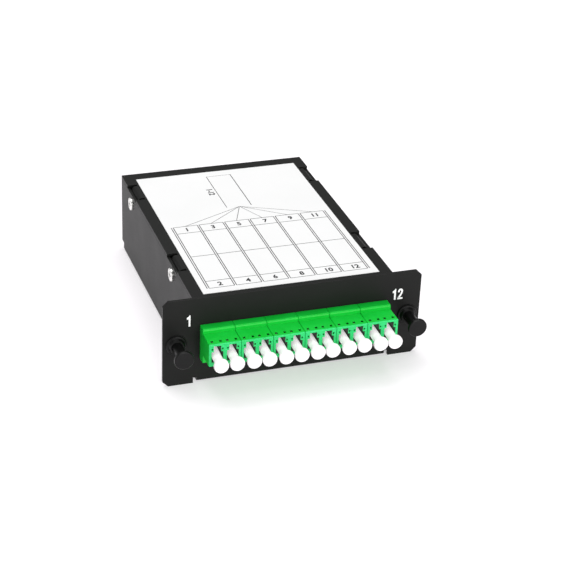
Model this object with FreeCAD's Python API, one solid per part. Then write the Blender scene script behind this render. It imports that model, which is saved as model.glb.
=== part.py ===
import FreeCAD, Part
import math
import os

V = FreeCAD.Vector
os.makedirs("parts", exist_ok=True)

# ---------------------------------------------------------------------------
# Fibre cassette: a folded steel tray with a port panel, a screwed cover,
# six duplex adapters with pull-off dust caps, two push-pull latches and the
# fibre harness inside.  Millimetres.  X right, Y from the panel to the rear,
# Z up.  Modelled with Y = 0 on the panel's front face, then moved by Y_SHIFT
# so that the origin is the centre of the bounding box's bottom face.
# ---------------------------------------------------------------------------

# --- sheet metal ---
T = 1.2                 # sheet thickness
PANEL_W = 108.2         # front panel width
PANEL_H = 38.2          # front panel height
CORNER = 2.2            # panel corner chamfer
BODY_W = 84.2           # body width over the side walls
BODY_D = 120.3          # panel front face to rear wall's outer face
BODY_CX = 0.9           # the body sits slightly right of the panel's middle
FLOOR_Z = 0.4           # underside of the floor
COVER_TOP = 36.4        # top face of the cover
WING_X = 41.65          # inner edge of the panel wings' lowered part
FOLD_X = 40.0           # half width of the floor-to-panel fold
RELIEF_TOP = 2.5        # top of the relief slots beside the fold
R_OUT = 1.35            # outer bend radius
R_IN = 0.3              # inner bend radius
WALL_TOP = 35.1         # top edge of the side and rear walls
TABS_Y = (34.3, 101.8)  # centres of the cover's bent tabs
TAB_W = 12.2            # tab width
NOTCH_W = 15.4          # notch in the cover's edge, tab and two relief slots
TAB_GAP = 0.15          # tab's outer face to the side wall's inner face
TAB_R = 1.9             # tab's outer bend radius
TAB_BOT = 23.5          # lowest point of a tab
RELIEF_X = 37.9         # inner end of the relief slots
SCREW_Z = 31.0          # height of the cover screws
SCREW_R = 1.5           # cover screw thread
HEAD_R = 2.8            # cover screw head
HEAD_H = 0.95

# --- adapters ---
N_ADAPT = 6
PITCH = 13.12           # duplex adapter pitch
BLOCK_CX = 0.35         # centre of the row of adapters
PORT_DX = 3.125         # half of the 6.25 pitch inside one adapter
ZC = 18.6               # port axis height
AD_W = 13.02            # adapter width
FL_D = 4.2              # collar depth in front of the panel
FL_Z0, FL_Z1 = 10.95, 26.25
FR_D = 12.8             # front face of the ports
BD_Z0, BD_Z1 = 14.5, 24.35
RB_W = 12.0             # rear body width behind the panel
RB_D = 14.0             # rear body length behind the panel's front face
PORT_H = 2.4            # half side of the square port
KEY_W = 1.5             # half width of the latch slot
KEY_TOP = 4.9           # latch slot height above the port axis
PIT_X0, PIT_X1 = 1.8, 2.4      # pits beside the latch slot
PIT_Z0, PIT_Z1 = 3.1, 3.9
WIN_Y0, WIN_Y1 = 11.25, 9.8    # latch windows in the top wall

# --- dust caps ---
CAP_R = 2.93            # cap head radius
CAP_END = 20.34         # outer end of the cap head, before it leans
CAP_BACK = 18.3         # inner face of the cap head
NECK_R = 1.85           # neck radius
HOLDER_R = 1.25         # sleeve holder inside the port
CAP_BORE = 1.4          # bore of the cap's inner end, round the holder
CAP_PIVOT = -4.0        # the caps lean about this point of their axis
# how far each cap's head hangs low and leans sideways, left to right
CAP_SAG = (0.28, 0.25, 0.32, 0.36, 0.50, 0.44, 0.34, 0.44, 0.31, 0.22, 0.52, 0.52)
CAP_LEAN = (-0.36, -0.11, -0.06, -0.08, -0.10, 0.06, -0.14, -0.20, -0.20, 0.0, 0.0, -0.14)

# --- latches ---
LATCH_X = 48.7
GR_R = 4.2              # grommet collar radius
GR_T = 0.8              # grommet collar's rim thickness
BOSS_R0, BOSS_R1 = 3.4, 2.95   # collar's cone, at the rim and at the mouth
BOSS_END = 2.3          # front of the cone
SEAT_R = 3.5            # barrel radius inside the panel
SEAT_END = 1.5
BARREL_R = 3.15         # barrel radius behind the panel
BARREL_END = 9.6        # rear end of the barrel
PL_R = 3.95             # plunger head radius
PL_FRONT = 12.5         # plunger head front face
PL_BACK = 11.0          # plunger head rear face
PL_SHAFT = 2.2          # plunger shaft radius
PL_TRAVEL = 5.8

# --- rear adapter ---
RA_W, RA_H = 12.7, 9.4
RA_FL_W, RA_FL_T = 22.0, 1.8
RA_IN, RA_OUT = 111.0, 129.0
RA_SCREW_X = 9.0
RCAP_END = 133.5

# --- harness ---
LOOP_R = 15.0           # harness centreline radius round the spool
LOOP_Y = 86.0
LEAD_R = 0.45
CABLE_R = 1.5
FAN_Z = 6.0
FAN_Y0, FAN_Y1 = 63.0, 72.6
FAN_PITCH = 1.8
BOOT_END = 28.0
RBOOT_END = 92.0

Y_MIN, Y_MAX = -20.4, RCAP_END      # foremost cap to rear cap
Y_SHIFT = -(Y_MIN + Y_MAX) / 2.0

HW = BODY_W / 2.0       # outer half width of the body
IW = HW - T             # inner half width
FZ = FLOOR_Z + T        # floor's inside face
COVER_Z = COVER_TOP - T


def box(x0, x1, y0, y1, z0, z1):
    return Part.makeBox(x1 - x0, y1 - y0, z1 - z0, V(x0, y0, z0))


def cyl_y(x, z, r, y0, y1):
    return Part.makeCylinder(r, y1 - y0, V(x, y0, z), V(0, 1, 0))


def cyl_x(y, z, r, x0, x1):
    return Part.makeCylinder(r, x1 - x0, V(x0, y, z), V(1, 0, 0))


def cyl_z(x, y, r, z0, z1):
    return Part.makeCylinder(r, z1 - z0, V(x, y, z0), V(0, 0, 1))


def prism_z(points, z0, z1):
    w = Part.makePolygon([V(x, y, z0) for x, y in points] + [V(points[0][0], points[0][1], z0)])
    return Part.Face(w).extrude(V(0, 0, z1 - z0))


def prism_y(points, y0, y1):
    w = Part.makePolygon([V(x, y0, z) for x, z in points] + [V(points[0][0], y0, points[0][1])])
    return Part.Face(w).extrude(V(0, y1 - y0, 0))


def edges_where(shape, test):
    return [e for e in shape.Edges if test(e)]


def straight(e, axis):
    if len(e.Vertexes) != 2:
        return False
    a, b = e.Vertexes[0].Point, e.Vertexes[1].Point
    d = b - a
    if d.Length < 1e-6:
        return False
    d.normalize()
    return abs(abs(getattr(d, axis)) - 1) < 1e-6


def at_x(shape, dx):
    s = shape.copy()
    s.translate(V(dx, 0, 0))
    return s


def fuse(first, *rest):
    s = first.fuse(list(rest))
    return s.removeSplitter()


def save(name, shape):
    s = shape.copy()
    s.translate(V(0, Y_SHIFT, 0))
    solids = s.Solids
    vol = sum(x.Volume for x in solids)
    print("%-22s solids %2d valid %s vol %.2f" % (name, len(solids), s.isValid(), vol))
    out = solids[0] if len(solids) == 1 else Part.makeCompound(solids)
    out.exportStep("parts/%s.step" % name)


# ---------------------------------------------------------------------------
# base tray: floor, side walls, rear wall and panel from one folded sheet
# ---------------------------------------------------------------------------
def l_fold_front():
    # section in Y-Z: floor strip, quarter bend, panel strip
    y_end, z_end = 6.0, 12.0
    outer = box(-FOLD_X, FOLD_X, 0, y_end, FLOOR_Z, z_end)
    e = edges_where(outer, lambda q: straight(q, "x") and abs(q.Vertexes[0].Y) < 1e-6
                    and abs(q.Vertexes[0].Z - FLOOR_Z) < 1e-6)
    outer = outer.makeFillet(R_OUT, e)
    inner = box(-FOLD_X - 1, FOLD_X + 1, T, y_end + 1, FZ, z_end + 1)
    e = edges_where(inner, lambda q: straight(q, "x") and abs(q.Vertexes[0].Y - T) < 1e-6
                    and abs(q.Vertexes[0].Z - FZ) < 1e-6)
    inner = inner.makeFillet(R_IN, e)
    return outer.cut(inner)


def l_fold_rear():
    hx = IW - 0.3
    y0 = BODY_D - 8.0
    outer = box(-hx, hx, y0, BODY_D, FLOOR_Z, WALL_TOP)
    e = edges_where(outer, lambda q: straight(q, "x") and abs(q.Vertexes[0].Y - BODY_D) < 1e-6
                    and abs(q.Vertexes[0].Z - FLOOR_Z) < 1e-6)
    outer = outer.makeFillet(R_OUT, e)
    inner = box(-hx - 1, hx + 1, y0 - 1, BODY_D - T, FZ, WALL_TOP + 1)
    e = edges_where(inner, lambda q: straight(q, "x") and abs(q.Vertexes[0].Y - (BODY_D - T)) < 1e-6
                    and abs(q.Vertexes[0].Z - FZ) < 1e-6)
    inner = inner.makeFillet(R_IN, e)
    return outer.cut(inner)


def u_channel():
    y0, y1 = 3.0, BODY_D - 3.0
    outer = box(-HW, HW, y0, y1, FLOOR_Z, WALL_TOP)
    e = edges_where(outer, lambda q: straight(q, "y") and abs(q.Vertexes[0].Z - FLOOR_Z) < 1e-6)
    outer = outer.makeFillet(R_OUT, e)
    inner = box(-IW, IW, y0 - 1, y1 + 1, FZ, WALL_TOP + 1)
    e = edges_where(inner, lambda q: straight(q, "y") and abs(q.Vertexes[0].Z - FZ) < 1e-6)
    inner = inner.makeFillet(R_IN, e)
    return outer.cut(inner)


def panel():
    hw = PANEL_W / 2.0
    c = CORNER
    fx = FOLD_X
    pts = [(-hw + c, 0.0), (-WING_X, 0.0), (-WING_X, RELIEF_TOP), (-fx, RELIEF_TOP), (-fx, 2.0), (fx, 2.0),
           (fx, RELIEF_TOP), (WING_X, RELIEF_TOP), (WING_X, 0.0), (hw - c, 0.0), (hw, c), (hw, PANEL_H - c), (hw - c, PANEL_H),
           (-hw + c, PANEL_H), (-hw, PANEL_H - c), (-hw, c)]
    p = prism_y(pts, 0.0, T)
    half = N_ADAPT * PITCH / 2.0
    p = p.cut(box(BLOCK_CX - half + 0.4, BLOCK_CX + half - 0.4, -1, T + 1, BD_Z0 - 0.2, BD_Z1 + 0.2))
    for sx in (-1, 1):
        p = p.cut(cyl_y(sx * LATCH_X, ZC, SEAT_R + 0.05, -1, T + 1))
    return p


def base_tray():
    walls = []
    for sx in (-1, 1):
        x0, x1 = (IW, HW) if sx > 0 else (-HW, -IW)
        walls.append(box(x0, x1, T + 0.3, BODY_D, 4.2, WALL_TOP))
    s = fuse(u_channel(), l_fold_rear(), *walls)
    for y in TABS_Y:
        s = s.cut(cyl_x(y, SCREW_Z, SCREW_R + 0.2, -HW - 1, HW + 1))
    # rear adapter cut-out and its two screw holes
    s = s.cut(box(-RA_W / 2 - 0.15, RA_W / 2 + 0.15, BODY_D - 3, BODY_D + 1, ZC - RA_H / 2 - 0.15, ZC + RA_H / 2 + 0.15))
    for sx in (-1, 1):
        s = s.cut(cyl_y(sx * RA_SCREW_X, ZC, 1.02, BODY_D - 3, BODY_D + 1))
    # spool screw hole in the floor
    s = s.cut(cyl_z(-LOOP_R, LOOP_Y, 1.52, 0, FZ + 1))
    return fuse(at_x(s, BODY_CX), l_fold_front(), panel())


# ---------------------------------------------------------------------------
# top cover: plate with four tabs bent down inside the side walls
# ---------------------------------------------------------------------------
def tab(sx, y):
    xo = IW - TAB_GAP
    y0, y1 = y - TAB_W / 2, y + TAB_W / 2
    outer = box(RELIEF_X - 3.0, xo, y0, y1, TAB_BOT, COVER_TOP)
    e = edges_where(outer, lambda q: straight(q, "y") and abs(q.Vertexes[0].X - xo) < 1e-6
                    and abs(q.Vertexes[0].Z - COVER_TOP) < 1e-6)
    outer = outer.makeFillet(TAB_R, e)
    inner = box(RELIEF_X - 4.0, xo - T, y0 - 1, y1 + 1, TAB_BOT - 1, COVER_Z)
    e = edges_where(inner, lambda q: straight(q, "y") and abs(q.Vertexes[0].X - (xo - T)) < 1e-6
                    and abs(q.Vertexes[0].Z - COVER_Z) < 1e-6)
    inner = inner.makeFillet(TAB_R - T, e)
    t = outer.cut(inner)
    e = edges_where(t, lambda q: straight(q, "x") and abs(q.Vertexes[0].Z - TAB_BOT) < 1e-6)
    t = t.makeFillet(2.0, e)
    if sx < 0:
        t = t.mirror(V(0, 0, 0), V(1, 0, 0))
    return t


def top_cover():
    plate = box(-HW, HW, T + 0.25, BODY_D, COVER_Z, COVER_TOP)
    for sx in (-1, 1):
        for y in TABS_Y:
            x0, x1 = sorted((sx * RELIEF_X, sx * (HW + 1)))
            plate = plate.cut(box(x0, x1, y - NOTCH_W / 2, y + NOTCH_W / 2, COVER_Z - 1, COVER_TOP + 1))
    bridges = []
    for sx in (-1, 1):
        for y in TABS_Y:
            bridges.append(tab(sx, y))
    s = fuse(plate, *bridges)
    for y in TABS_Y:
        s = s.cut(cyl_x(y, SCREW_Z, SCREW_R + 0.02, -HW - 1, HW + 1))
    return s


def cover_screws():
    out = []
    for sx in (-1, 1):
        for y in TABS_Y:
            head = cyl_x(y, SCREW_Z, HEAD_R, HW, HW + HEAD_H)
            e = edges_where(head, lambda q: len(q.Vertexes) == 1 and abs(q.Vertexes[0].X - (HW + HEAD_H)) < 1e-6)
            head = head.makeFillet(0.45, e)
            shaft = cyl_x(y, SCREW_Z, SCREW_R, HW - 5.0, HW + 0.1)
            s = head.fuse(shaft).removeSplitter()
            # cross recess
            for w, h in ((0.55, 3.0), (3.0, 0.55)):
                s = s.cut(box(HW + HEAD_H - 0.6, HW + HEAD_H + 1, y - w / 2, y + w / 2,
                              SCREW_Z - h / 2, SCREW_Z + h / 2))
            if sx < 0:
                s = s.mirror(V(0, 0, 0), V(1, 0, 0))
            out.append(s)
    return Part.makeCompound(out)


def label_sheet():
    return box(-37.0, 37.0, 5.8, 114.2, COVER_TOP, COVER_TOP + 0.12)


# ---------------------------------------------------------------------------
# duplex adapter, clip and sleeves
# ---------------------------------------------------------------------------
def port_cut(px, y0, y1, mouth_low):
    c = box(px - PORT_H, px + PORT_H, y0, y1, ZC - PORT_H, ZC + PORT_H)
    if mouth_low:
        k = box(px - KEY_W, px + KEY_W, y0, y0 + 7.5, ZC, ZC + KEY_TOP)
        n0, n1 = y0, y0 + 1.1
    else:
        k = box(px - KEY_W, px + KEY_W, y1 - 7.5, y1, ZC, ZC + KEY_TOP)
        n0, n1 = y1 - 1.1, y1
    # small square pits beside the latch slot
    return [c, k, box(px - PIT_X1, px - PIT_X0, n0, n1, ZC + PIT_Z0, ZC + PIT_Z1),
            box(px + PIT_X0, px + PIT_X1, n0, n1, ZC + PIT_Z0, ZC + PIT_Z1)]


def adapter(ax):
    hw = AD_W / 2
    collar = box(ax - hw, ax + hw, -FL_D, 0, FL_Z0, FL_Z1)
    e = edges_where(collar, lambda q: straight(q, "x") and abs(q.Vertexes[0].Y + FL_D) < 1e-6)
    collar = collar.makeFillet(0.8, e)
    e = edges_where(collar, lambda q: straight(q, "y") and q.Vertexes[0].Z > FL_Z1 - 1e-6)
    collar = collar.makeChamfer(0.15, e)
    front = box(ax - hw, ax + hw, -FR_D, -FL_D + 0.6, BD_Z0, BD_Z1)
    e = edges_where(front, lambda q: straight(q, "x") and abs(q.Vertexes[0].Y + FR_D) < 1e-6)
    front = front.makeFillet(0.3, e)
    e = edges_where(front, lambda q: straight(q, "y"))
    front = front.makeChamfer(0.2, e)
    rear = box(ax - RB_W / 2, ax + RB_W / 2, -0.5, RB_D, BD_Z0, BD_Z1)
    s = fuse(collar, front, rear)
    cuts = []
    for d in (-PORT_DX, PORT_DX):
        px = ax + d
        cuts += port_cut(px, -FR_D - 0.01, -0.4, True)
        cuts += port_cut(px, 1.6, RB_D + 0.01, False)
        for w in (-1.75, 1.75):
            cuts.append(box(px + w - 0.5, px + w + 0.5, -WIN_Y0, -WIN_Y1, ZC + 3.2, BD_Z1 + 1))
    s = s.cut(cuts)
    tubes = []
    holes = []
    for d in (-PORT_DX, PORT_DX):
        px = ax + d
        tubes.append(cyl_y(px, ZC, HOLDER_R, -3.6, 5.2))
        holes.append(cyl_y(px, ZC, 0.86, -4, 5.6))
    s = fuse(s, *tubes)
    return s.cut(holes)


def adapter_clips():
    out = []
    for i in range(N_ADAPT):
        ax = adapter_x(i)
        y0, y1 = T + 0.1, 6.4
        hw = RB_W / 2
        o = box(ax - hw - 0.3, ax + hw + 0.3, y0, y1, BD_Z0 + 1.0, BD_Z1 + 0.32)
        n = box(ax - hw - 0.02, ax + hw + 0.02, y0 - 1, y1 + 1, BD_Z0 - 1, BD_Z1 + 0.02)
        out.append(o.cut(n))
    return Part.makeCompound(out)


def sleeves():
    out = []
    for i in range(12):
        px = port_x(i)
        s = cyl_y(px, ZC, 0.83, -2.6, 4.2).cut(cyl_y(px, ZC, 0.64, -3, 5))
        s = s.cut(box(px - 0.08, px + 0.08, -3, 5, ZC, ZC + 1.2))
        out.append(s)
    return Part.makeCompound(out)


def adapter_x(k):
    return BLOCK_CX + (k - (N_ADAPT - 1) / 2.0) * PITCH


def port_x(i):
    return adapter_x(i // 2) + (-PORT_DX if i % 2 == 0 else PORT_DX)


def dust_cap(i):
    px = port_x(i)
    head = cyl_y(px, ZC, CAP_R, -CAP_END, -CAP_BACK)
    e = edges_where(head, lambda q: len(q.Vertexes) == 1 and abs(q.Vertexes[0].Y + CAP_END) < 1e-6)
    head = head.makeFillet(0.8, e)
    e = edges_where(head, lambda q: len(q.Vertexes) == 1 and abs(q.Vertexes[0].Y + CAP_BACK) < 1e-6)
    head = head.makeFillet(0.35, e)
    neck = cyl_y(px, ZC, NECK_R, -CAP_BACK - 0.5, -2.2)
    e = edges_where(neck, lambda q: len(q.Vertexes) == 1 and abs(q.Vertexes[0].Y + 2.2) < 1e-6)
    neck = neck.makeChamfer(0.2, e)
    # bore that goes round the adapter's sleeve holder
    s = fuse(head, neck).cut(cyl_y(px, ZC, CAP_BORE, -6.0, -2.0))
    # the cap hangs a little crooked in its port
    arm = CAP_PIVOT + CAP_END
    s.rotate(V(px, CAP_PIVOT, ZC), V(1, 0, 0), math.degrees(math.atan(CAP_SAG[i] / arm)))
    s.rotate(V(px, CAP_PIVOT, ZC), V(0, 0, 1), math.degrees(math.atan(CAP_LEAN[i] / arm)))
    return s


# ---------------------------------------------------------------------------
# push-pull latches
# ---------------------------------------------------------------------------
def grommet(x):
    bore = PL_SHAFT + 0.06
    # half section in X-Y, spun round the latch's axis
    pts = [(bore, -BOSS_END), (BOSS_R1 - 0.3, -BOSS_END), (BOSS_R1, -BOSS_END + 0.3), (BOSS_R0, -GR_T - 0.1),
           (GR_R - 0.3, -GR_T), (GR_R, -GR_T + 0.3), (GR_R, 0.0), (SEAT_R, 0.0), (SEAT_R, SEAT_END),
           (BARREL_R, SEAT_END), (BARREL_R, BARREL_END - 0.5), (BARREL_R - 0.5, BARREL_END), (bore, BARREL_END)]
    w = Part.makePolygon([V(x + a, b, ZC) for a, b in pts + [pts[0]]])
    s = Part.Face(w).revolve(V(x, 0, ZC), V(0, 1, 0), 360)
    # four legs: two crossing saw cuts from the rear
    s = s.cut(box(x - 4, x + 4, 6.2, BARREL_END + 1, ZC - 0.3, ZC + 0.3))
    s = s.cut(box(x - 0.3, x + 0.3, 6.2, BARREL_END + 1, ZC - 4, ZC + 4))
    return s


def plunger(x):
    head = cyl_y(x, ZC, PL_R, -PL_FRONT, -PL_BACK)
    e = edges_where(head, lambda q: len(q.Vertexes) == 1 and abs(q.Vertexes[0].Y + PL_FRONT) < 1e-6)
    head = head.makeFillet(0.5, e)
    e = edges_where(head, lambda q: len(q.Vertexes) == 1 and abs(q.Vertexes[0].Y + PL_BACK) < 1e-6)
    head = head.makeFillet(0.4, e)
    shaft = cyl_y(x, ZC, PL_SHAFT, -PL_BACK - 0.5, 3.5)
    e = edges_where(shaft, lambda q: len(q.Vertexes) == 1 and abs(q.Vertexes[0].Y - 3.5) < 1e-6)
    shaft = shaft.makeChamfer(0.5, e)
    return fuse(head, shaft)


# ---------------------------------------------------------------------------
# rear multi-fibre adapter
# ---------------------------------------------------------------------------
def rear_adapter():
    hw, hh = RA_W / 2, RA_H / 2
    body = box(-hw, hw, RA_IN, RA_OUT, ZC - hh, ZC + hh)
    e = edges_where(body, lambda q: straight(q, "y"))
    body = body.makeFillet(0.5, e)
    fl = box(-RA_FL_W / 2, RA_FL_W / 2, BODY_D, BODY_D + RA_FL_T, ZC - hh, ZC + hh)
    e = edges_where(fl, lambda q: straight(q, "y"))
    fl = fl.makeFillet(1.0, e)
    s = fuse(body, fl)
    s = s.cut([box(-5.1, 5.1, RA_IN - 1, RA_OUT + 1, ZC - 3.6, ZC + 3.6),
               box(-1.5, 1.5, RA_OUT - 4, RA_OUT + 1, ZC, ZC + 4.15)])
    for sx in (-1, 1):
        s = s.cut(cyl_y(sx * RA_SCREW_X, ZC, 1.1, BODY_D - 1, BODY_D + 4))
    return s


def rear_screws():
    out = []
    for sx in (-1, 1):
        x = sx * RA_SCREW_X
        y = BODY_D + RA_FL_T
        head = cyl_y(x, ZC, 1.9, y, y + 1.2)
        e = edges_where(head, lambda q: len(q.Vertexes) == 1 and abs(q.Vertexes[0].Y - y - 1.2) < 1e-6)
        head = head.makeFillet(0.6, e)
        s = fuse(head, cyl_y(x, ZC, 1.0, BODY_D - 3.2, y + 0.1))
        for w, h in ((0.4, 2.0), (2.0, 0.4)):
            s = s.cut(box(x - w / 2, x + w / 2, y + 0.5, y + 2, ZC - h / 2, ZC + h / 2))
        out.append(s)
    return Part.makeCompound(out)


def rear_cap():
    nose = box(-4.9, 4.9, 121.6, RA_OUT + 0.2, ZC - 3.4, ZC + 3.4)
    head = box(-6.3, 6.3, RA_OUT + 0.05, RCAP_END, ZC - 4.6, ZC + 4.6)
    e = edges_where(head, lambda q: straight(q, "y") or abs(q.CenterOfMass.y - RCAP_END) < 1e-6)
    head = head.makeFillet(0.7, e)
    s = fuse(nose, head)
    # grip grooves across the top and the bottom
    for k in range(2):
        yy = RA_OUT + 1.2 + 1.3 * k
        s = s.cut([box(-7, 7, yy, yy + 0.6, ZC + 4.25, ZC + 5), box(-7, 7, yy, yy + 0.6, ZC - 5, ZC - 4.25)])
    # hollow nose
    return s.cut(box(-3.9, 3.9, 121.0, 127.5, ZC - 2.4, ZC + 2.4))


def rear_plug():
    nose = box(-4.9, 4.9, 104.0, 119.6, ZC - 3.45, ZC + 3.45)
    e = edges_where(nose, lambda q: straight(q, "y"))
    nose = nose.makeFillet(0.6, e)
    grip = box(-6.0, 6.0, 100.5, 109.5, ZC - 4.1, ZC + 4.1)
    e = edges_where(grip, lambda q: straight(q, "y"))
    grip = grip.makeFillet(0.8, e)
    return fuse(nose, grip).cut(cyl_y(0, ZC, CABLE_R + 0.05, 100.0, 104.5))


def rear_boot():
    s = Part.makeCone(2.2, 3.4, 100.5 - RBOOT_END, V(0, RBOOT_END, ZC), V(0, 1, 0))
    s = s.cut(cyl_y(0, ZC, CABLE_R + 0.05, RBOOT_END - 1, 101.0))
    for k in range(3):
        y = RBOOT_END + 1.4 + 2.2 * k
        for dz in (-1, 1):
            z0, z1 = sorted((ZC + dz * 1.75, ZC + dz * 4.0))
            s = s.cut(box(-4, 4, y, y + 0.8, z0, z1))
    return s


# ---------------------------------------------------------------------------
# harness: cable from the rear plug, one loop round the spool, fan-out block
# and twelve leads to the inner plugs
# ---------------------------------------------------------------------------
def harness():
    x0 = 0.0
    deep_in = 8.0                          # level stretch inside the boot
    deep_out = 2.0                         # level stretch inside the block
    run_in = RBOOT_END - LOOP_Y            # from the boot to the loop
    run_out = LOOP_Y - FAN_Y1              # from the loop to the block
    turn = 2 * math.pi * LOOP_R
    slope = (ZC - FAN_Z) / (turn + 0.5 * run_in + 0.5 * run_out)
    pts = []
    for k in range(8):
        pts.append(V(x0, RBOOT_END + deep_in * (1 - k / 8.0), ZC))
    n = 12
    for k in range(n + 1):
        s = run_in * k / n
        pts.append(V(x0, RBOOT_END - s, ZC - 0.5 * slope * s * s / run_in))
    z1 = pts[-1].z
    m = 96
    for k in range(1, m + 1):
        a = 2 * math.pi * k / m
        pts.append(V(-LOOP_R + LOOP_R * math.cos(a), LOOP_Y - LOOP_R * math.sin(a), z1 - slope * turn * k / m))
    z2 = pts[-1].z
    for k in range(1, n + 1):
        s = run_out * k / n
        pts.append(V(x0, LOOP_Y - s, z2 - slope * (s - 0.5 * s * s / run_out)))
    for k in range(1, 5):
        pts.append(V(x0, FAN_Y1 - deep_out * k / 4.0, FAN_Z))
    b = Part.BSplineCurve()
    b.approximate(Points=pts, DegMin=3, DegMax=5, Tolerance=0.005, Continuity="C2")
    w = Part.Wire([b.toShape()])
    t = b.tangent(b.FirstParameter)[0]
    prof = Part.Wire([Part.makeCircle(CABLE_R, b.value(b.FirstParameter), t)])
    pipe = w.makePipeShell([prof], True, False)
    print("harness length %.1f expected volume %.1f" % (w.Length, w.Length * math.pi * CABLE_R ** 2))
    return pipe


def fan_x(i):
    return BODY_CX + (i - 5.5) * FAN_PITCH


def s_lead(i):
    """Two equal arcs in the plane through the start and end directions."""
    p0 = V(port_x(i), BOOT_END - 3.0, ZC)
    p1 = V(fan_x(i), FAN_Y0 + 2.0, FAN_Z)
    a = V(p0.x, BOOT_END, ZC)
    b = V(p1.x, FAN_Y0, FAN_Z)
    L = b.y - a.y
    off = V(b.x - a.x, 0, b.z - a.z)
    h = off.Length
    n = V(off)
    n.normalize()
    yv = V(0, 1, 0)
    R = (L * L + h * h) / (4 * h)
    th = 2 * math.atan2(h, L)
    c1 = a + n * R
    mid = a + yv * (L / 2) + n * (h / 2)
    q1 = c1 + yv * (R * math.sin(th / 2)) - n * (R * math.cos(th / 2))
    c2 = b - n * R
    q2 = c2 - yv * (R * math.sin(th / 2)) + n * (R * math.cos(th / 2))
    e = [Part.makeLine(p0, a), Part.Arc(a, q1, mid).toShape(), Part.Arc(mid, q2, b).toShape(), Part.makeLine(b, p1)]
    w = Part.Wire(e)
    prof = Part.Wire([Part.makeCircle(LEAD_R, p0, yv)])
    s = w.makePipeShell([prof], True, False)
    print("lead %2d R %.1f turn %.0f length %.1f vol ratio %.4f" % (
        i + 1, R, math.degrees(th), w.Length, s.Volume / (w.Length * math.pi * LEAD_R ** 2)))
    return s


def leads():
    return Part.makeCompound([s_lead(i) for i in range(12)])


def lc_plug(i):
    px = port_x(i)
    nose = box(px - 2.2, px + 2.2, 5.6, 19.0, ZC - 2.2, ZC + 2.2)
    e = edges_where(nose, lambda q: straight(q, "y"))
    nose = nose.makeFillet(0.3, e)
    latch = box(px - 1.0, px + 1.0, 8.0, 18.0, ZC, ZC + 3.9)
    body = box(px - 2.6, px + 2.6, 14.3, 20.5, ZC - 2.6, ZC + 2.6)
    e = edges_where(body, lambda q: straight(q, "y"))
    body = body.makeFillet(0.6, e)
    boot = Part.makeCone(2.3, 1.2, BOOT_END - 20.0, V(px, 20.0, ZC), V(0, 1, 0))
    ferrule = cyl_y(px, ZC, 0.62, 1.0, 9.0)
    s = fuse(nose, latch, body, boot)
    s = s.cut(cyl_y(px, ZC, 1.6, 5.0, 7.6))
    s = fuse(s, ferrule)
    return s.cut(cyl_y(px, ZC, LEAD_R + 0.03, BOOT_END - 3.2, BOOT_END + 1))


def spool():
    x, y = -LOOP_R, LOOP_Y
    r = LOOP_R - CABLE_R - 0.5
    drum = cyl_z(x, y, r, FZ, 24.4).cut(cyl_z(x, y, r - 1.6, FZ + 1.4, 25.0))
    boss = cyl_z(x, y, 3.4, FZ, 8.0)
    rim = cyl_z(x, y, r + 4.8, 23.2, 24.4).cut(cyl_z(x, y, r - 1.6, 20, 25))
    q = r - 1.0
    ribs = [box(x - q, x + q, y - 0.6, y + 0.6, FZ, 7.0), box(x - 0.6, x + 0.6, y - q, y + q, FZ, 7.0)]
    s = fuse(drum, boss, rim, *ribs)
    return s.cut(cyl_z(x, y, 1.65, 0, 12))


def spool_screw():
    x, y = -LOOP_R, LOOP_Y
    head = cyl_z(x, y, 2.8, 8.0, 9.8)
    e = edges_where(head, lambda q: len(q.Vertexes) == 1 and abs(q.Vertexes[0].Z - 9.8) < 1e-6)
    head = head.makeFillet(0.8, e)
    s = fuse(head, cyl_z(x, y, 1.5, FLOOR_Z + 0.1, 8.1))
    for w, h in ((0.6, 3.0), (3.0, 0.6)):
        s = s.cut(box(x - w / 2, x + w / 2, y - h / 2, y + h / 2, 8.9, 11))
    return s


def fanout():
    b = box(-12.0, 12.0, FAN_Y0, FAN_Y1, FZ, FAN_Z + 3.0)
    e = edges_where(b, lambda q: straight(q, "z"))
    b = b.makeFillet(1.5, e)
    e = edges_where(b, lambda q: abs(q.CenterOfMass.z - (FAN_Z + 3.0)) < 1e-6)
    b = b.makeFillet(0.6, e)
    cuts = [cyl_y((i - 5.5) * FAN_PITCH, FAN_Z, LEAD_R + 0.03, FAN_Y0 - 1, FAN_Y0 + 2.3) for i in range(12)]
    cuts.append(cyl_y(0, FAN_Z, CABLE_R + 0.06, FAN_Y1 - 2.3, FAN_Y1 + 1))
    return b.cut(cuts)


save("base_tray", base_tray())
save("top_cover", at_x(top_cover(), BODY_CX))
save("cover_screws", at_x(cover_screws(), BODY_CX))
save("label_sheet", at_x(label_sheet(), BODY_CX))
for k in range(N_ADAPT):
    save("adapter_%d" % (k + 1), adapter(adapter_x(k)))
save("adapter_clips", adapter_clips())
save("alignment_sleeves", sleeves())
for k in range(12):
    save("dust_cap_%d" % (k + 1), dust_cap(k))
save("grommet_left", grommet(-LATCH_X))
save("grommet_right", grommet(LATCH_X))
save("plunger_left", plunger(-LATCH_X))
save("plunger_right", plunger(LATCH_X))
save("rear_adapter", at_x(rear_adapter(), BODY_CX))
save("rear_adapter_screws", at_x(rear_screws(), BODY_CX))
save("rear_dust_cap", at_x(rear_cap(), BODY_CX))
save("rear_plug", at_x(rear_plug(), BODY_CX))
save("rear_plug_boot", at_x(rear_boot(), BODY_CX))
save("harness_cable", at_x(harness(), BODY_CX))
save("fibre_leads", leads())
save("fibre_spool", at_x(spool(), BODY_CX))
save("spool_screw", at_x(spool_screw(), BODY_CX))
save("fanout_block", at_x(fanout(), BODY_CX))
for k in range(12):
    save("lc_plug_%d" % (k + 1), lc_plug(k))
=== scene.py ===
import bpy
import bmesh
import math
from mathutils import Matrix, Vector


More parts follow.
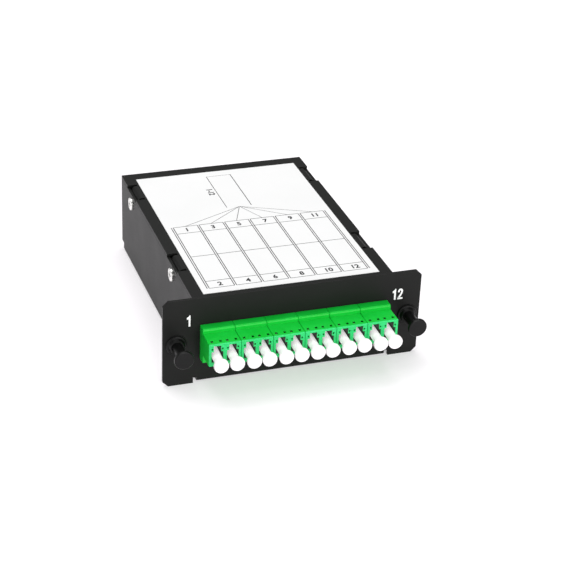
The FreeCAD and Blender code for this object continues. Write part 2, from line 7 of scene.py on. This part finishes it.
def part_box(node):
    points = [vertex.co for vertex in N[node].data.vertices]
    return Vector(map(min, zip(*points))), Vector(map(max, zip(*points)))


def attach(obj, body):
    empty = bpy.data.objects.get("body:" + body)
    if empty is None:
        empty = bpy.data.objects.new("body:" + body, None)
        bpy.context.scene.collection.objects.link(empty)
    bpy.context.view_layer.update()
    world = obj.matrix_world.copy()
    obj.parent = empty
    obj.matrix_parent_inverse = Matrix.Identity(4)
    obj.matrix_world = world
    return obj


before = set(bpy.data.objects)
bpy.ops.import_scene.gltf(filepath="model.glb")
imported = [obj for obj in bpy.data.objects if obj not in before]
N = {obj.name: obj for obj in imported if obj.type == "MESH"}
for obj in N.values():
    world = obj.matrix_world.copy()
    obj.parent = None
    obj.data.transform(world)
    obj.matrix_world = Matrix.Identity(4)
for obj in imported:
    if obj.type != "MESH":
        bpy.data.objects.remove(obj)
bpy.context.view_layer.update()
MM = 0.001


def vec(v):
    return Vector((v[0], v[1], v[2]))


# ---------------------------------------------------------------------------
# places read from the frame
# ---------------------------------------------------------------------------
tray_lo, tray_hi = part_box("base_tray")
label_lo, label_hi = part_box("label_sheet")
cover_lo, cover_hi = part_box("top_cover")
Y0 = tray_lo.y                     # the panel's front face
LX = (label_lo.x + label_hi.x) / 2
LTOP = label_hi.z


# ---------------------------------------------------------------------------
# camera: the direction and distance of the reference view
# ---------------------------------------------------------------------------
def make_camera():
    az, el, roll = math.radians(-19.694), math.radians(28.701), math.radians(2.416)
    back = Vector((math.sin(az) * math.cos(el), -math.cos(az) * math.cos(el), math.sin(el)))
    fwd = -back
    right = fwd.cross(Vector((0, 0, 1))).normalized()
    up = right.cross(fwd)
    R = math.cos(roll) * right + math.sin(roll) * up
    U = -math.sin(roll) * right + math.cos(roll) * up
    m = Matrix((R, U, back)).transposed().to_4x4()
    m.translation = Vector((-0.1977, Y0 - 0.5398, 0.3532))
    cd = bpy.data.cameras.new("camera")
    cd.sensor_fit = "HORIZONTAL"
    cd.sensor_width = 36.0
    cd.lens = 1661.34 * 36.0 / 570.0
    cd.clip_start = 0.01
    cd.clip_end = 20.0
    cam = bpy.data.objects.new("camera", cd)
    bpy.context.scene.collection.objects.link(cam)
    cam.matrix_world = m
    bpy.context.scene.camera = cam


make_camera()


# ---------------------------------------------------------------------------
# materials
# ---------------------------------------------------------------------------
class Mat:
    def __init__(self, name):
        self.m = bpy.data.materials.new(name)
        self.m.use_nodes = True
        self.t = self.m.node_tree
        self.n = self.t.nodes
        self.b = [x for x in self.n if x.type == "BSDF_PRINCIPLED"][0]
        self.co = self.n.new("ShaderNodeTexCoord")

    def link(self, a, b):
        self.t.links.new(a, b)

    def set(self, **kw):
        for k, v in kw.items():
            self.b.inputs[k.replace("_", " ")].default_value = v
        return self

    def noise(self, scale, detail=3.0, rough=0.55, stretch=None):
        n = self.n.new("ShaderNodeTexNoise")
        n.inputs["Scale"].default_value = scale
        n.inputs["Detail"].default_value = detail
        n.inputs["Roughness"].default_value = rough
        if stretch:
            mp = self.n.new("ShaderNodeMapping")
            mp.inputs["Scale"].default_value = stretch
            self.link(self.co.outputs["Object"], mp.inputs["Vector"])
            self.link(mp.outputs["Vector"], n.inputs["Vector"])
        else:
            self.link(self.co.outputs["Object"], n.inputs["Vector"])
        return n.outputs["Fac"]

    def ramp(self, fac, stops):
        r = self.n.new("ShaderNodeValToRGB")
        e = r.color_ramp.elements
        while len(e) < len(stops):
            e.new(0.5)
        for k, (p, c) in enumerate(stops):
            e[k].position = p
            e[k].color = (c[0], c[1], c[2], 1.0) if hasattr(c, "__len__") else (c, c, c, 1.0)
        self.link(fac, r.inputs["Fac"])
        return r.outputs["Color"]

    def rng(self, fac, lo, hi):
        r = self.n.new("ShaderNodeMapRange")
        r.inputs["From Min"].default_value = 0.3
        r.inputs["From Max"].default_value = 0.7
        r.inputs["To Min"].default_value = lo
        r.inputs["To Max"].default_value = hi
        self.link(fac, r.inputs["Value"])
        return r.outputs["Result"]

    def bump(self, heights, edge=0.0):
        """heights: list of (fac, distance in metres); edge: rounding radius of sharp edges."""
        prev = None
        if edge > 0:
            bv = self.n.new("ShaderNodeBevel")
            bv.samples = 6
            bv.inputs["Radius"].default_value = edge
            prev = bv.outputs["Normal"]
        for fac, dist in heights:
            bp = self.n.new("ShaderNodeBump")
            bp.inputs["Strength"].default_value = 1.0
            bp.inputs["Distance"].default_value = dist
            self.link(fac, bp.inputs["Height"])
            if prev is not None:
                self.link(prev, bp.inputs["Normal"])
            prev = bp.outputs["Normal"]
        if prev is not None:
            self.link(prev, self.b.inputs["Normal"])
        return self


def powder(name, tone=1.0):
    m = Mat(name)
    m.set(Specular_IOR_Level=0.185, IOR=1.5)
    wide = m.noise(55, 4, 0.6)
    fine = m.noise(2300, 2, 0.5)
    grit = m.noise(5200, 2, 0.6)
    col = m.ramp(wide, [(0.25, (0.0042 * tone, 0.0045 * tone, 0.0040 * tone)),
                        (0.75, (0.0058 * tone, 0.0061 * tone, 0.0055 * tone))])
    m.link(col, m.b.inputs["Base Color"])
    m.link(m.rng(wide, 0.43, 0.48), m.b.inputs["Roughness"])
    m.bump([(fine, 0.000010), (grit, 0.000004)], edge=0.00022)
    return m.m


def plastic(name, c0, c1, rough=(0.3, 0.4), spec=0.5, sss=0.0, radius=(1.0, 1.0, 1.0), sss_scale=0.001,
            fine=0.000004, edge=0.00012, coat=0.0):
    m = Mat(name)
    m.set(Specular_IOR_Level=spec, IOR=1.5)
    wide = m.noise(140, 3, 0.55)
    fi = m.noise(3200, 2, 0.5)
    m.link(m.ramp(wide, [(0.3, c0), (0.7, c1)]), m.b.inputs["Base Color"])
    m.link(m.rng(wide, rough[0], rough[1]), m.b.inputs["Roughness"])
    if sss:
        m.set(Subsurface_Weight=sss, Subsurface_Radius=radius, Subsurface_Scale=sss_scale)
    if coat:
        m.set(Coat_Weight=coat, Coat_Roughness=0.25)
    m.bump([(fi, fine)], edge=edge)
    return m.m


def metal(name, c0, c1, rough=(0.22, 0.34), stretch=None, edge=0.00008):
    m = Mat(name)
    m.set(Metallic=1.0)
    wide = m.noise(300, 3, 0.6)
    br = m.noise(1800, 3, 0.6, stretch)
    m.link(m.ramp(wide, [(0.3, c0), (0.7, c1)]), m.b.inputs["Base Color"])
    m.link(m.rng(br, rough[0], rough[1]), m.b.inputs["Roughness"])
    m.bump([(br, 0.000003)], edge=edge)
    return m.m


def paper(name):
    m = Mat(name)
    m.set(Specular_IOR_Level=0.35, IOR=1.45)
    wide = m.noise(30, 3, 0.5)
    fib = m.noise(1500, 4, 0.65)
    m.link(m.ramp(wide, [(0.3, (0.755, 0.757, 0.757)), (0.7, (0.78, 0.78, 0.78))]), m.b.inputs["Base Color"])
    m.link(m.rng(fib, 0.42, 0.55), m.b.inputs["Roughness"])
    m.bump([(fib, 0.000003), (wide, 0.00002)])
    return m.m


def ink(name, c):
    m = Mat(name)
    m.set(Specular_IOR_Level=0.3)
    f = m.noise(2500, 3, 0.6)
    m.link(m.ramp(f, [(0.3, [x * 0.85 for x in c]), (0.7, [min(1.0, x * 1.1) for x in c])]), m.b.inputs["Base Color"])
    m.link(m.rng(f, 0.45, 0.6), m.b.inputs["Roughness"])
    m.bump([(f, 0.000002)])
    return m.m


M_TRAY = powder("powder_coat_tray")
M_COVER = powder("powder_coat_cover", 1.05)
def green():
    """Glossy green moulding; the mouth faces, which meet the caps, are painted paler (painted light from the white
    caps), and the ports behind the mouth are painted dark (painted shade).
    """
    m = Mat("green_moulding")
    m.set(Specular_IOR_Level=0.26, IOR=1.5)
    wide = m.noise(140, 3, 0.55)
    fi = m.noise(3200, 2, 0.5)
    body = m.ramp(wide, [(0.3, (0.0015, 0.46, 0.028)), (0.7, (0.003, 0.52, 0.042))])
    # painted light: a paler mint on the mouth faces stands for light thrown onto them by the white caps
    painted_cap_light = m.ramp(wide, [(0.3, (0.018, 0.53, 0.135)), (0.7, (0.026, 0.59, 0.165))])
    sep = m.n.new("ShaderNodeSeparateXYZ")
    m.link(m.co.outputs["Object"], sep.inputs["Vector"])
    mr = m.n.new("ShaderNodeMapRange")
    mr.inputs["From Min"].default_value = MOUTH_Y + 0.0007
    mr.inputs["From Max"].default_value = MOUTH_Y + 0.0001
    m.link(sep.outputs["Y"], mr.inputs["Value"])
    mix = m.n.new("ShaderNodeMix")
    mix.data_type = "RGBA"
    m.link(mr.outputs["Result"], mix.inputs["Factor"])
    m.link(body, mix.inputs["A"])
    m.link(painted_cap_light, mix.inputs["B"])
    # painted shade: the ports, pits and slots behind the mouth are painted near-black green where shade falls in the
    # recesses
    painted_shade_mask = None
    for axis, a, b in (("Y", MOUTH_Y + 0.0001, MOUTH_Y + 0.0008), ("Y", Y0 + 0.0002, Y0 - 0.0004),
                       ("X", PORTS_X[0] + 0.0003, PORTS_X[0] + 0.0006), ("X", PORTS_X[1] - 0.0003, PORTS_X[1] - 0.0006),
                       ("Z", MOUTH_Z[0] + 0.0002, MOUTH_Z[0] + 0.0004), ("Z", MOUTH_Z[1] - 0.0001, MOUTH_Z[1] - 0.0004)):
        q = m.n.new("ShaderNodeMapRange")
        q.inputs["From Min"].default_value = a
        q.inputs["From Max"].default_value = b
        m.link(sep.outputs[axis], q.inputs["Value"])
        if painted_shade_mask is None:
            painted_shade_mask = q.outputs["Result"]
        else:
            k = m.n.new("ShaderNodeMath")
            k.operation = "MULTIPLY"
            m.link(painted_shade_mask, k.inputs[0])
            m.link(q.outputs["Result"], k.inputs[1])
            painted_shade_mask = k.outputs["Value"]
    shade = m.ramp(wide, [(0.3, (0.0010, 0.022, 0.0045)), (0.7, (0.0013, 0.030, 0.0060))])
    painted_shade_mix = m.n.new("ShaderNodeMix")
    painted_shade_mix.data_type = "RGBA"
    m.link(painted_shade_mask, painted_shade_mix.inputs["Factor"])
    m.link(mix.outputs["Result"], painted_shade_mix.inputs["A"])
    m.link(shade, painted_shade_mix.inputs["B"])
    m.link(painted_shade_mix.outputs["Result"], m.b.inputs["Base Color"])
    m.link(m.rng(wide, 0.34, 0.44), m.b.inputs["Roughness"])
    m.set(Subsurface_Weight=0.12, Subsurface_Radius=(0.2, 1.0, 0.3), Subsurface_Scale=0.0012)
    m.bump([(fi, 0.000004)], edge=0.00012)
    return m.m


MOUTH_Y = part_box("adapter_1")[0].y         # front face of the ports
PORTS_X = (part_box("adapter_1")[0].x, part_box("adapter_6")[1].x)
ZMID = (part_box("adapter_1")[0].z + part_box("adapter_1")[1].z) / 2
MOUTH_Z = (ZMID - 0.0041, ZMID + 0.00575)  # lower and upper face of the front blocks
M_GREEN = green()
M_GREEN_IN = plastic("green_plug_moulding", (0.002, 0.58, 0.046), (0.004, 0.64, 0.062), rough=(0.34, 0.44), spec=0.26,
                  sss=0.12, radius=(0.2, 1.0, 0.3), sss_scale=0.0012)
M_CAP = plastic("white_cap_moulding", (0.865, 0.835, 0.85), (0.885, 0.855, 0.87), rough=(0.36, 0.44), spec=0.30,
                sss=0.5, radius=(1.0, 0.95, 0.95), sss_scale=0.0018)
# the caps are translucent; a painted glow (emission on the caps around the mouth) stands for the light that enters the
# heads and shows a few millimetres inside the ports
def painted_glow(mat, y_a, y_b, strength):
    t = mat.node_tree
    b = [x for x in t.nodes if x.type == "BSDF_PRINCIPLED"][0]
    co = t.nodes.new("ShaderNodeTexCoord")
    sp = t.nodes.new("ShaderNodeSeparateXYZ")
    t.links.new(co.outputs["Object"], sp.inputs["Vector"])
    q = t.nodes.new("ShaderNodeMapRange")
    q.inputs["From Min"].default_value = y_a
    q.inputs["From Max"].default_value = y_b
    q.inputs["To Max"].default_value = strength
    t.links.new(sp.outputs["Y"], q.inputs["Value"])
    b.inputs["Emission Color"].default_value = (1.0, 0.95, 0.97, 1)
    t.links.new(q.outputs["Result"], b.inputs["Emission Strength"])


painted_glow(M_CAP, MOUTH_Y - 0.0030, MOUTH_Y + 0.0010, 0.42)
M_BLACK = plastic("black_latch_moulding", (0.0026, 0.0027, 0.0026), (0.0040, 0.0042, 0.0040), rough=(0.28, 0.36), spec=0.20)
M_DARK = plastic("dark_moulding", (0.012, 0.012, 0.013), (0.020, 0.020, 0.021), rough=(0.38, 0.5), spec=0.4)
M_ZINC = metal("bright_zinc", (0.78, 0.78, 0.76), (0.88, 0.87, 0.85))
M_SPRING = metal("spring_strip", (0.62, 0.61, 0.58), (0.74, 0.73, 0.70), stretch=(1.0, 8.0, 1.0))
M_CERAMIC = plastic("ceramic_sleeve", (0.88, 0.87, 0.83), (0.93, 0.92, 0.89), rough=(0.18, 0.26))
M_YELLOW = plastic("yellow_jacket", (0.80, 0.50, 0.02), (0.88, 0.58, 0.03), rough=(0.4, 0.5))
M_LABEL = paper("label_film")
M_INK = ink("label_ink", (0.010, 0.010, 0.012))
M_WHITE_INK = ink("panel_ink", (0.86, 0.86, 0.86))


def dress(node, mat):
    o = N[node]
    me = o.data
    if not me.materials:
        me.materials.append(mat)
    for s in o.material_slots:
        s.material = mat


dress("base_tray", M_TRAY)
dress("top_cover", M_COVER)
dress("cover_screws", M_ZINC)
dress("label_sheet", M_LABEL)
for k in range(1, 7):
    dress("adapter_%d" % k, M_GREEN)
dress("adapter_clips", M_SPRING)
dress("alignment_sleeves", M_CERAMIC)
for k in range(1, 13):
    dress("dust_cap_%d" % k, M_CAP)
    dress("lc_plug_%d" % k, M_GREEN_IN)
for side in ("left", "right"):
    dress("grommet_" + side, M_BLACK)
    dress("plunger_" + side, M_BLACK)
for n in ("rear_adapter", "rear_dust_cap", "rear_plug_boot", "fibre_spool", "fanout_block"):
    dress(n, M_DARK)
dress("rear_plug", M_GREEN_IN)
dress("rear_adapter_screws", M_ZINC)
dress("spool_screw", M_ZINC)
dress("harness_cable", M_YELLOW)
dress("fibre_leads", M_YELLOW)


# ---------------------------------------------------------------------------
# print: thin raised ink films, as simple shapes
# ---------------------------------------------------------------------------
def mesh_object(name, bm, mat, body, smooth=False):
    bmesh.ops.recalc_face_normals(bm, faces=bm.faces)
    me = bpy.data.meshes.new(name)
    bm.to_mesh(me)
    bm.free()
    for p in me.polygons:
        p.use_smooth = smooth
    me.materials.append(mat)
    o = bpy.data.objects.new(name, me)
    bpy.context.scene.collection.objects.link(o)
    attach(o, body)
    return o


def slab(bm, pts, origin, ux, uy, un, h):
    """Closed slab of height h over a 2-D outline (mm) in the plane given by ux, uy."""
    lo = [bm.verts.new(origin + ux * (x * MM) + uy * (y * MM)) for x, y in pts]
    hi = [bm.verts.new(origin + ux * (x * MM) + uy * (y * MM) + un * h) for x, y in pts]
    bm.faces.new(list(reversed(lo)))
    bm.faces.new(hi)
    n = len(pts)
    for k in range(n):
        bm.faces.new((lo[k], lo[(k + 1) % n], hi[(k + 1) % n], hi[k]))


def stroke_line(bm, a, b, w, origin, ux, uy, un, h):
    d = Vector((b[0] - a[0], b[1] - a[1]))
    d.normalize()
    p = Vector((-d.y, d.x)) * (w / 2)
    pts = [(a[0] - p.x, a[1] - p.y), (b[0] - p.x, b[1] - p.y), (b[0] + p.x, b[1] + p.y), (a[0] + p.x, a[1] + p.y)]
    slab(bm, pts, origin, ux, uy, un, h)


def digits(name, text, height, origin, ux, uy, un, body, mat, bold=0.0, squeeze=0.82, h=0.00002, gap=1.0):
    """Plain numerals centred on origin; the built-in font, turned into a closed mesh."""
    cu = bpy.data.curves.new(name, "FONT")
    cu.body = text
    cu.size = 1.0
    cu.align_x = "CENTER"
    cu.space_character = gap
    cu.resolution_u = 6
    cu.offset = bold
    cu.extrude = 0.5
    tmp = bpy.data.objects.new(name + "_c", cu)
    bpy.context.scene.collection.objects.link(tmp)
    dg = bpy.context.evaluated_depsgraph_get()
    me = bpy.data.meshes.new_from_object(tmp.evaluated_get(dg))
    bpy.data.objects.remove(tmp)
    bpy.data.curves.remove(cu)
    ys = [v.co.y for v in me.vertices]
    xs = [v.co.x for v in me.vertices]
    y_lo, y_hi = min(ys), max(ys)
    x_mid = (min(xs) + max(xs)) / 2
    k = height / (y_hi - y_lo)
    for v in me.vertices:
        x = (v.co.x - x_mid) * k * squeeze
        y = (v.co.y - (y_lo + y_hi) / 2) * k
        z = v.co.z + 0.5
        v.co = origin + ux * x + uy * y + un * (z * h)
    me.materials.clear()
    me.materials.append(mat)
    o = bpy.data.objects.new(name, me)
    bpy.context.scene.collection.objects.link(o)
    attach(o, body)
    return o


X, Y, Z = Vector((1, 0, 0)), Vector((0, 1, 0)), Vector((0, 0, 1))

# panel numerals: flagged ones and a round-topped two, as plain flat shapes
def ribbon(path, w):
    """Outline of a broad pen stroke along a path."""
    left, right = [], []
    for k, (x, y) in enumerate(path):
        a = path[max(0, k - 1)]
        b = path[min(len(path) - 1, k + 1)]
        d = Vector((b[0] - a[0], b[1] - a[1])).normalized()
        left.append((x - d.y * w / 2, y + d.x * w / 2))
        right.append((x + d.y * w / 2, y - d.x * w / 2))
    return left + list(reversed(right))


def smooth_path(pts, n=6):
    out = []
    for k in range(len(pts) - 1):
        p0 = pts[max(0, k - 1)]
        p1, p2 = pts[k], pts[k + 1]
        p3 = pts[min(len(pts) - 1, k + 2)]
        for j in range(n):
            t = j / n
            out.append(tuple(0.5 * (2 * p1[i] + (p2[i] - p0[i]) * t + (2 * p0[i] - 5 * p1[i] + 4 * p2[i] - p3[i]) * t * t
                                    + (3 * p1[i] - p0[i] - 3 * p2[i] + p3[i]) * t ** 3) for i in range(2)))
    out.append(pts[-1])
    return out


def one(x0, z0):
    return [(x0 + a, z0 + b) for a, b in ((-0.37, 0.0), (0.37, 0.0), (0.37, 4.85), (0.26, 5.0), (0.02, 5.0), (-0.18, 4.65),
                                          (-0.56, 4.3), (-1.06, 3.98), (-1.06, 3.1), (-0.37, 3.3))]


PO = Vector((0.0, Y0, 0.0))
INK_P = 0.00003
bm = bmesh.new()
slab(bm, one(-43.34, 26.22), PO, X, Z, -Y, INK_P)
mesh_object("panel_number_first", bm, M_WHITE_INK, "cassette")
bm = bmesh.new()
slab(bm, one(42.98, 25.90), PO, X, Z, -Y, INK_P)
slab(bm, [(44.18, 25.90), (46.34, 25.90), (46.34, 26.64), (44.18, 26.64)], PO, X, Z, -Y, INK_P)
slab(bm, ribbon(smooth_path([(44.57, 29.15), (44.60, 29.70), (44.88, 30.18), (45.32, 30.36), (45.76, 30.15), (45.98, 29.62),
                             (45.92, 29.0), (45.62, 28.2), (45.22, 27.5), (44.84, 26.9), (44.62, 26.4)]), 0.74),
     PO, X, Z, -Y, INK_P)
mesh_object("panel_number_last", bm, M_WHITE_INK, "cassette")

# label figure: grid, box and fan of lines
LY = Y0                                        # y = 0 of the panel
lo_ = Vector((LX, LY, LTOP))
bm = bmesh.new()
INK_H = 0.000012
W1 = 0.29
col = 11.3
xs = [(-3 + k) * col for k in range(7)]
y_f, y_f2, y_m, y_r2, y_r = 9.7, 15.5, 37.0, 58.1, 64.2
for k, x in enumerate(xs):
    for dx in (-0.42, 0.42):
        stroke_line(bm, (x + dx, y_f), (x + dx, y_r), W1 * 1.15, lo_, X, Y, Z, INK_H)
for y in (y_f, y_f2, y_m, y_r2, y_r):
    for k in range(6):
        stroke_line(bm, (xs[k] + 0.52, y), (xs[k + 1] - 0.52, y), W1, lo_, X, Y, Z, INK_H)
stroke_line(bm, (-5.9, 77.3), (-5.9, 109.4), W1, lo_, X, Y, Z, INK_H)
stroke_line(bm, (5.2, 77.3), (5.2, 109.4), W1 * 1.2, lo_, X, Y, Z, INK_H)
stroke_line(bm, (-5.8, 109.3), (5.1, 109.3), W1 * 0.6, lo_, X, Y, Z, INK_H)
for k in range(6):
    cx = (xs[k] + xs[k + 1]) / 2
    stroke_line(bm, (-0.3 + 0.12 * (k - 2.5), 77.0 - 0.05 * abs(k - 2.5)), (cx + 0.2, y_r + 0.15), 0.22, lo_, X, Y, Z, INK_H)
mesh_object("label_figure", bm, M_INK, "cassette")
SHIFT_R = (0.0, 0.1, 0.25, 0.7, 0.6, 0.5)      # the numbers stand slightly off their columns' middles
SHIFT_F = (0.0, 0.4, 0.45, 0.4, 0.9, 1.0)
for k in range(6):
    cx = (xs[k] + xs[k + 1]) / 2
    digits("label_number_%d" % (2 * k + 1), str(2 * k + 1), 3.0 * MM, lo_ + X * ((cx + SHIFT_R[k]) * MM) + Y * (61.15 * MM), X, Y, Z,
           "cassette", M_INK, bold=0.032, squeeze=0.95, h=INK_H)
    digits("label_number_%d" % (2 * k + 2), str(2 * k + 2), 3.0 * MM, lo_ + X * ((cx + SHIFT_F[k]) * MM) + Y * (12.55 * MM), X, Y, Z,
           "cassette", M_INK, bold=0.032, squeeze=0.95, h=INK_H)
digits("label_number_range", "1-12", 2.8 * MM, lo_ + X * (-8.35 * MM) + Y * (93.6 * MM), -Y, X, Z,
       "cassette", M_INK, bold=0.035, squeeze=0.95, h=INK_H)


# ---------------------------------------------------------------------------
# stage: floor, soft studio light
# ---------------------------------------------------------------------------
def floor():
    me = bpy.data.meshes.new("floor")
    s = 3.0
    # the tray leans back by its panel's wing height over its depth
    t = 0.0004 / 0.1203
    pts = [(-s, -s), (s, -s), (s, s), (-s, s)]
    me.from_pydata([(x, y, (y - Y0) * t - 0.00002) for x, y in pts], [], [(0, 1, 2, 3)])
    m = bpy.data.materials.new("floor_white")
    m.use_nodes = True
    b = [x for x in m.node_tree.nodes if x.type == "BSDF_PRINCIPLED"][0]
    b.inputs["Base Color"].default_value = (0.60, 0.575, 0.60, 1)
    b.inputs["Emission Color"].default_value = (1, 1, 1, 1)
    b.inputs["Emission Strength"].default_value = 0.44
    b.inputs["Roughness"].default_value = 0.8
    b.inputs["Specular IOR Level"].default_value = 0.1
    me.materials.append(m)
    o = bpy.data.objects.new("floor", me)
    bpy.context.scene.collection.objects.link(o)


def area(name, loc, target, size, power, color=(1, 1, 1), size_y=None):
    ld = bpy.data.lights.new(name, "AREA")
    ld.energy = power
    ld.color = color
    ld.shape = "RECTANGLE"
    ld.size = size
    ld.size_y = size_y or size
    o = bpy.data.objects.new(name, ld)
    bpy.context.scene.collection.objects.link(o)
    d = Vector(target) - Vector(loc)
    o.matrix_world = Matrix.Translation(Vector(loc)) @ d.to_track_quat("-Z", "Y").to_matrix().to_4x4()
    return o


floor()
world = bpy.data.worlds.new("world")
bpy.context.scene.world = world
world.use_nodes = True
bg = world.node_tree.nodes["Background"]
bg.inputs["Color"].default_value = (0.36, 0.36, 0.36, 1)
bg.inputs["Strength"].default_value = 1.0

area("key_above", (-0.10, 0.25, 1.2), (0, 0, 0), 1.0, 12.8)
area("front_fill", (0.20, -1.25, 0.40), (0, 0, 0.02), 0.9, 13.5)

area("left_fill", (-1.25, -0.45, 0.55), (0, 0, 0.02), 0.9, 3.0)

sc = bpy.context.scene
sc.view_settings.view_transform = "Standard"
sc.view_settings.look = "None"
sc.view_settings.exposure = 0.0
sc.view_settings.gamma = 1.0
